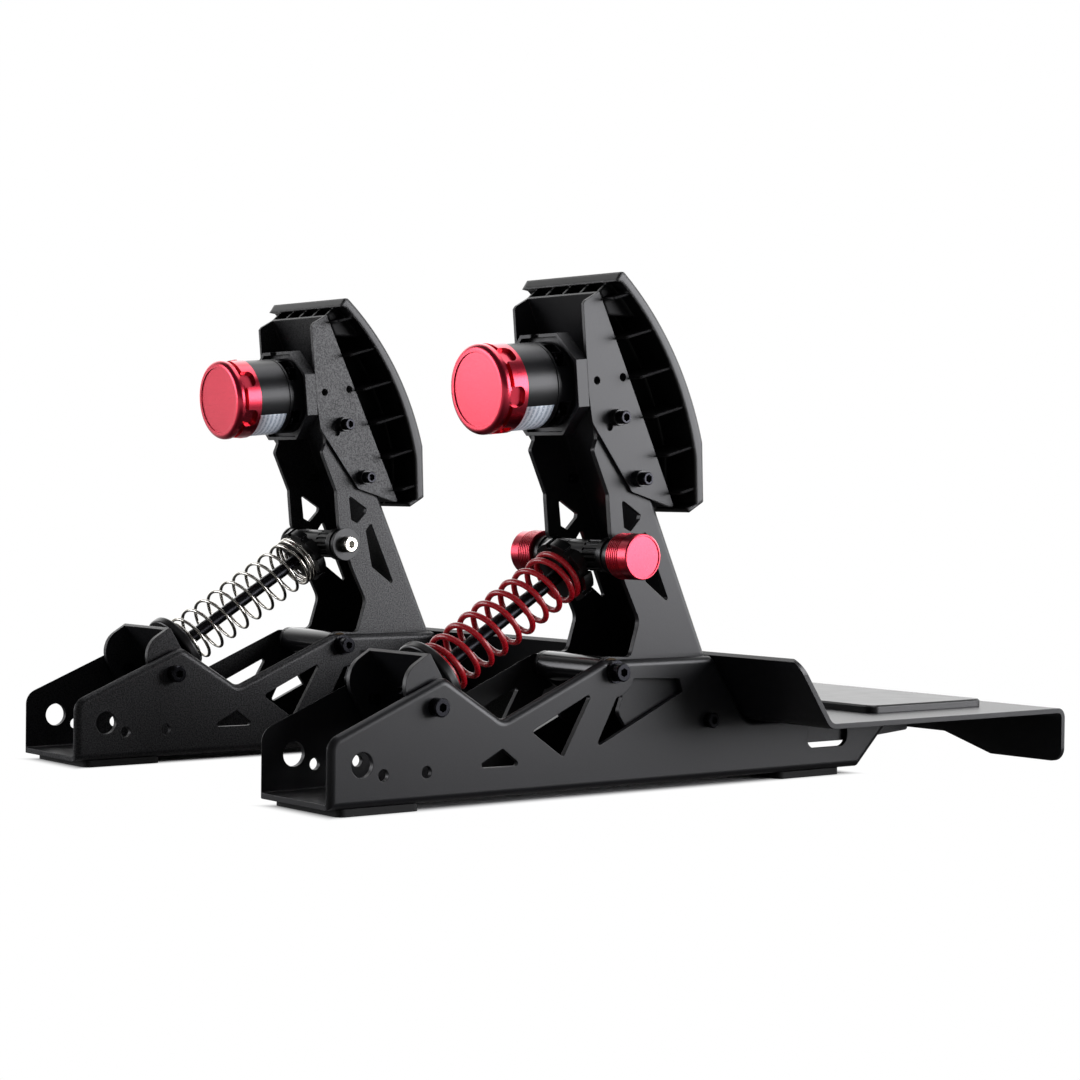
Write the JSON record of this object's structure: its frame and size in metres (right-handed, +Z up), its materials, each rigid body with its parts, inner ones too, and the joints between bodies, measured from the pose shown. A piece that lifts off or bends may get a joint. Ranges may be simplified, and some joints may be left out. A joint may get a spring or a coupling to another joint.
{
  "type": "sim racing pedal set",
  "caption": "Low sim racing pedal set: brake and throttle arms with curved foot pads, spring struts and vibration motors on folded steel channels, joined by a heel plate with a mat.",
  "frame": {"origin": "centre of the footprint at floor level", "axes": "+Y from the driver's heels towards the nose of the channels, +X to the driver's right (throttle side), +Z up"},
  "size_m": [0.462, 0.484, 0.2835],
  "materials": {
    "satin_black_steel": "smooth satin powder coat",
    "textured_black_steel": "fine-textured matt powder coat",
    "steel": "turned bright steel",
    "nickel_steel": "nickel plated",
    "bronze_bush": "sintered bearing bronze",
    "red_aluminium": "red anodised, satin",
    "red_spring": "gloss red paint on spring steel",
    "motor_black": "semi-gloss black",
    "black_plastic": "moulded, fine matt grain",
    "black_rubber": "matt rubber"
  },
  "bodies": {
    "base": {"brake_frame": "satin_black_steel", "throttle_frame": "textured_black_steel", "rubber_feet": "black_rubber", "pivot_axles": "steel", "pivot_screws": "nickel_steel", "strut_bolts": "nickel_steel", "frame_bolts": "nickel_steel", "heel_plate": "satin_black_steel", "heel_mat": "black_rubber", "heel_brackets": "satin_black_steel", "heel_screws": "nickel_steel", "angle_sensors": "black_plastic"},
    "brake_arm": {"brake_pedal_arm": "satin_black_steel", "brake_pivot_bushes": "bronze_bush", "brake_pivot_tube": "steel", "brake_pad_bracket": "satin_black_steel", "brake_pedal_pad": "black_plastic", "brake_bracket_screws": "nickel_steel", "brake_bracket_spacers": "nickel_steel", "brake_motor_tray": "satin_black_steel", "brake_motor_body": "motor_black", "brake_motor_cap": "red_aluminium", "brake_motor_screws": "nickel_steel", "brake_cross_shaft": "steel", "brake_shaft_sleeves": "black_plastic", "brake_shaft_collars": "black_plastic"},
    "brake_rotor": {"brake_motor_rotor": "steel"},
    "brake_yoke": {"brake_strut_yoke": "satin_black_steel", "brake_load_cell": "steel", "brake_spring_cup": "black_plastic", "brake_spring": "red_spring"},
    "brake_rod": {"brake_strut_rod": "steel", "brake_rod_eye": "black_plastic"},
    "brake_ring": {"brake_adjuster_ring": "black_plastic"},
    "brake_left_knob": {"brake_knob_left": "red_aluminium"},
    "brake_right_knob": {"brake_knob_right": "red_aluminium"},
    "throttle_arm": {"throttle_pedal_arm": "textured_black_steel", "throttle_pivot_bushes": "bronze_bush", "throttle_pivot_tube": "steel", "throttle_pad_bracket": "textured_black_steel", "throttle_pedal_pad": "black_plastic", "throttle_bracket_screws": "nickel_steel", "throttle_bracket_spacers": "nickel_steel", "throttle_motor_tray": "textured_black_steel", "throttle_motor_body": "motor_black", "throttle_motor_cap": "red_aluminium", "throttle_motor_screws": "nickel_steel", "throttle_cross_shaft": "steel", "throttle_shaft_sleeves": "black_plastic", "throttle_shaft_collars": "black_plastic", "throttle_shaft_screws": "nickel_steel"},
    "throttle_rotor": {"throttle_motor_rotor": "steel"},
    "throttle_yoke": {"throttle_strut_yoke": "textured_black_steel", "throttle_spring_cup": "black_plastic", "throttle_spring": "nickel_steel"},
    "throttle_rod": {"throttle_strut_rod": "steel", "throttle_rod_eye": "black_plastic"},
    "throttle_ring": {"throttle_adjuster_ring": "black_plastic"}
  },
  "joints": [
    {"name": "brake_arm_hinge", "type": "hinge", "parent": "base", "child": "brake_arm", "pos_m": [-0.1325, 0.056, 0.067], "axis": [-1, 0, 0], "range_deg": [0, 15], "stiffness_Nm_per_rad": 60, "springref_deg": -2.86, "deforming": ["brake_spring"]},
    {"name": "brake_yoke_hinge", "type": "hinge", "parent": "base", "child": "brake_yoke", "pos_m": [-0.1325, 0.1765, 0.0533], "axis": [-1, 0, 0], "range_deg": [0, 3.5]},
    {"name": "brake_rod_hinge", "type": "hinge", "parent": "brake_arm", "child": "brake_rod", "pos_m": [-0.1325, 0.052, 0.13], "axis": [-1, 0, 0], "range_deg": [-12, 0]},
    {"name": "brake_ring_turn", "type": "hinge", "parent": "brake_rod", "child": "brake_ring", "pos_m": [-0.1325, 0.1765, 0.0533], "axis": [0, -0.8514, 0.5245], "continuous": true},
    {"name": "brake_rotor_spin", "type": "hinge", "parent": "brake_arm", "child": "brake_rotor", "pos_m": [-0.1325, 0.07603, 0.22359], "axis": [0, 0.9957, -0.0924], "continuous": true},
    {"name": "brake_left_knob_turn", "type": "hinge", "parent": "brake_arm", "child": "brake_left_knob", "pos_m": [-0.1743, 0.052, 0.13], "axis": [-1, 0, 0], "continuous": true},
    {"name": "brake_right_knob_turn", "type": "hinge", "parent": "brake_arm", "child": "brake_right_knob", "pos_m": [-0.0907, 0.052, 0.13], "axis": [1, 0, 0], "continuous": true},
    {"name": "throttle_arm_hinge", "type": "hinge", "parent": "base", "child": "throttle_arm", "pos_m": [0.1325, 0.056, 0.067], "axis": [-1, 0, 0], "range_deg": [0, 20], "stiffness_Nm_per_rad": 15, "springref_deg": -5.73, "deforming": ["throttle_spring"]},
    {"name": "throttle_yoke_hinge", "type": "hinge", "parent": "base", "child": "throttle_yoke", "pos_m": [0.1325, 0.1765, 0.0533], "axis": [-1, 0, 0], "range_deg": [0, 4.5]},
    {"name": "throttle_rod_hinge", "type": "hinge", "parent": "throttle_arm", "child": "throttle_rod", "pos_m": [0.1325, 0.052, 0.13], "axis": [-1, 0, 0], "range_deg": [-16, 0]},
    {"name": "throttle_ring_turn", "type": "hinge", "parent": "throttle_rod", "child": "throttle_ring", "pos_m": [0.1325, 0.1765, 0.0533], "axis": [0, -0.8514, 0.5245], "continuous": true},
    {"name": "throttle_rotor_spin", "type": "hinge", "parent": "throttle_arm", "child": "throttle_rotor", "pos_m": [0.1325, 0.07603, 0.22359], "axis": [0, 0.9957, -0.0924], "continuous": true}
  ],
  "couplings": [
    {"joint": "brake_yoke_hinge", "follows": "brake_arm_hinge", "ratio": 0.227},
    {"joint": "brake_rod_hinge", "follows": "brake_arm_hinge", "ratio": -0.773},
    {"joint": "throttle_yoke_hinge", "follows": "throttle_arm_hinge", "ratio": 0.219},
    {"joint": "throttle_rod_hinge", "follows": "throttle_arm_hinge", "ratio": -0.781}
  ]
}
